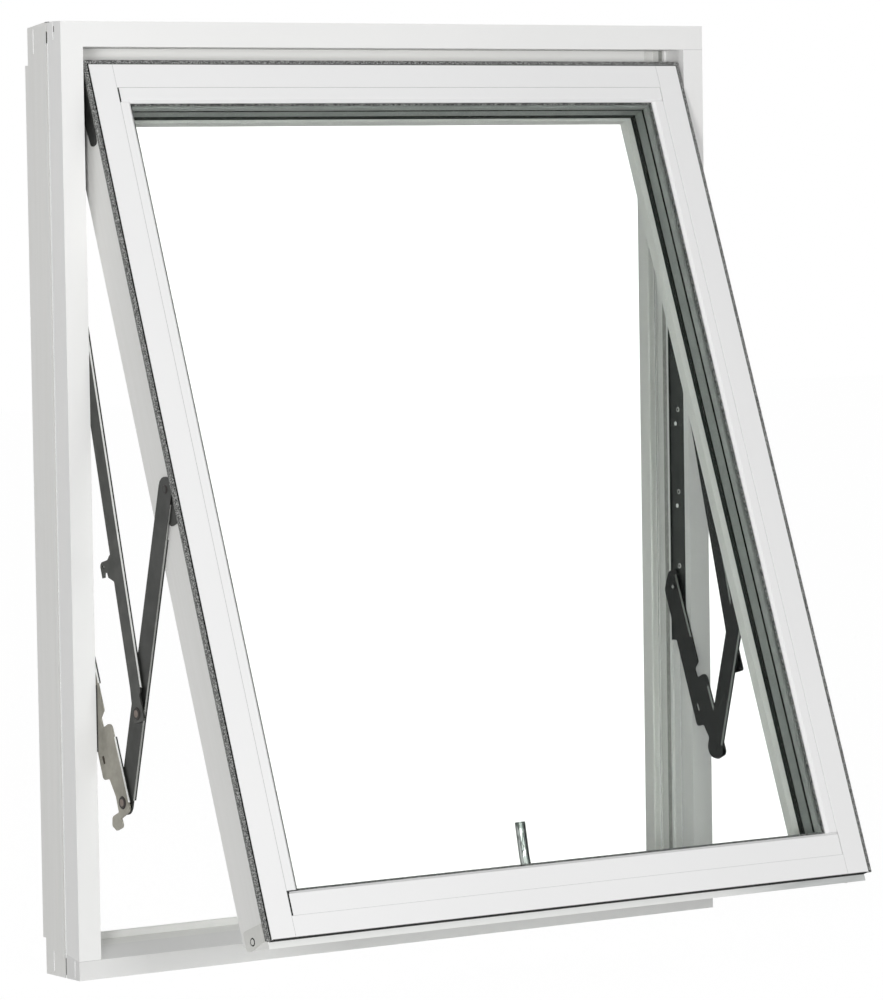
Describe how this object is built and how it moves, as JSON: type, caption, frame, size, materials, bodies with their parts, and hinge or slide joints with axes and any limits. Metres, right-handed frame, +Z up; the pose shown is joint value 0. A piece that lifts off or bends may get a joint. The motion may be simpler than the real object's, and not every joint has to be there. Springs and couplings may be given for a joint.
{
  "type": "top hung awning window",
  "caption": "Top hung awning window, shown open: a timber frame and sash clad in light grey aluminium, triple glazed, hung on steel link arms at both sides.",
  "frame": {"origin": "on the underside of the sill, in the middle of the window's width, 60 mm behind the outside face of the frame", "axes": "+X across the window to the right as seen from outside, +Y from outside to inside, +Z up"},
  "size_m": [0.98, 0.4734, 1.18],
  "materials": {
    "painted_timber": "light grey opaque paint on pine, satin",
    "frame_aluminium": "light grey powder coat on aluminium, fine satin",
    "sash_aluminium": "light grey powder coat on aluminium, fine satin",
    "bead_aluminium": "light grey powder coat on aluminium, fine satin",
    "glass": "clear float glass with a faint green tint",
    "spacer_grey": "grey composite spacer, matt",
    "frame_rubber": "dark grey extruded rubber",
    "sash_seal_rubber": "dark grey foam rubber, mottled",
    "glazing_rubber": "black extruded rubber",
    "chromated_steel": "zinc plated steel with a warm passivated film",
    "arm_steel": "dark zinc plated steel strip with bright cut edges",
    "track_steel": "dark zinc plated steel channel",
    "dark_steel": "black coated steel",
    "shoe_plastic": "black nylon",
    "bracket_paint": "light grey coated steel",
    "handle_chrome": "polished chrome plate on cast zinc"
  },
  "bodies": {
    "root": {"frame_gasket": "frame_rubber", "frame_head_cladding": "frame_aluminium", "frame_head_timber": "painted_timber", "frame_left_jamb_cladding": "frame_aluminium", "frame_left_jamb_timber": "painted_timber", "frame_right_jamb_cladding": "frame_aluminium", "frame_right_jamb_timber": "painted_timber", "frame_sill_cladding": "frame_aluminium", "frame_sill_timber": "painted_timber", "glass_pane_inner": "glass", "glass_pane_middle": "glass", "glass_pane_outer": "glass", "glass_spacer_inner": "spacer_grey", "glass_spacer_outer": "spacer_grey", "glazing_bead_bottom": "bead_aluminium", "glazing_bead_left": "bead_aluminium", "glazing_bead_right": "bead_aluminium", "glazing_bead_top": "bead_aluminium", "glazing_gasket": "glazing_rubber", "handle_base": "handle_chrome", "handle_lever": "handle_chrome", "left_corner_bracket": "bracket_paint", "left_guide_arm": "arm_steel", "left_jamb_track": "track_steel", "left_lower_link": "chromated_steel", "left_main_arm": "arm_steel", "left_sash_plate": "arm_steel", "left_slide_fitting": "dark_steel", "left_slide_shoe": "shoe_plastic", "right_corner_bracket": "bracket_paint", "right_guide_arm": "arm_steel", "right_jamb_track": "track_steel", "right_lower_link": "chromated_steel", "right_main_arm": "arm_steel", "right_sash_plate": "arm_steel", "right_slide_fitting": "dark_steel", "right_slide_shoe": "shoe_plastic", "sash_bottom_cladding": "sash_aluminium", "sash_bottom_rail": "painted_timber", "sash_left_cladding": "sash_aluminium", "sash_left_stile": "painted_timber", "sash_right_cladding": "sash_aluminium", "sash_right_stile": "painted_timber", "sash_seal": "sash_seal_rubber", "sash_top_cladding": "sash_aluminium", "sash_top_rail": "painted_timber"}
  },
  "joints": []
}
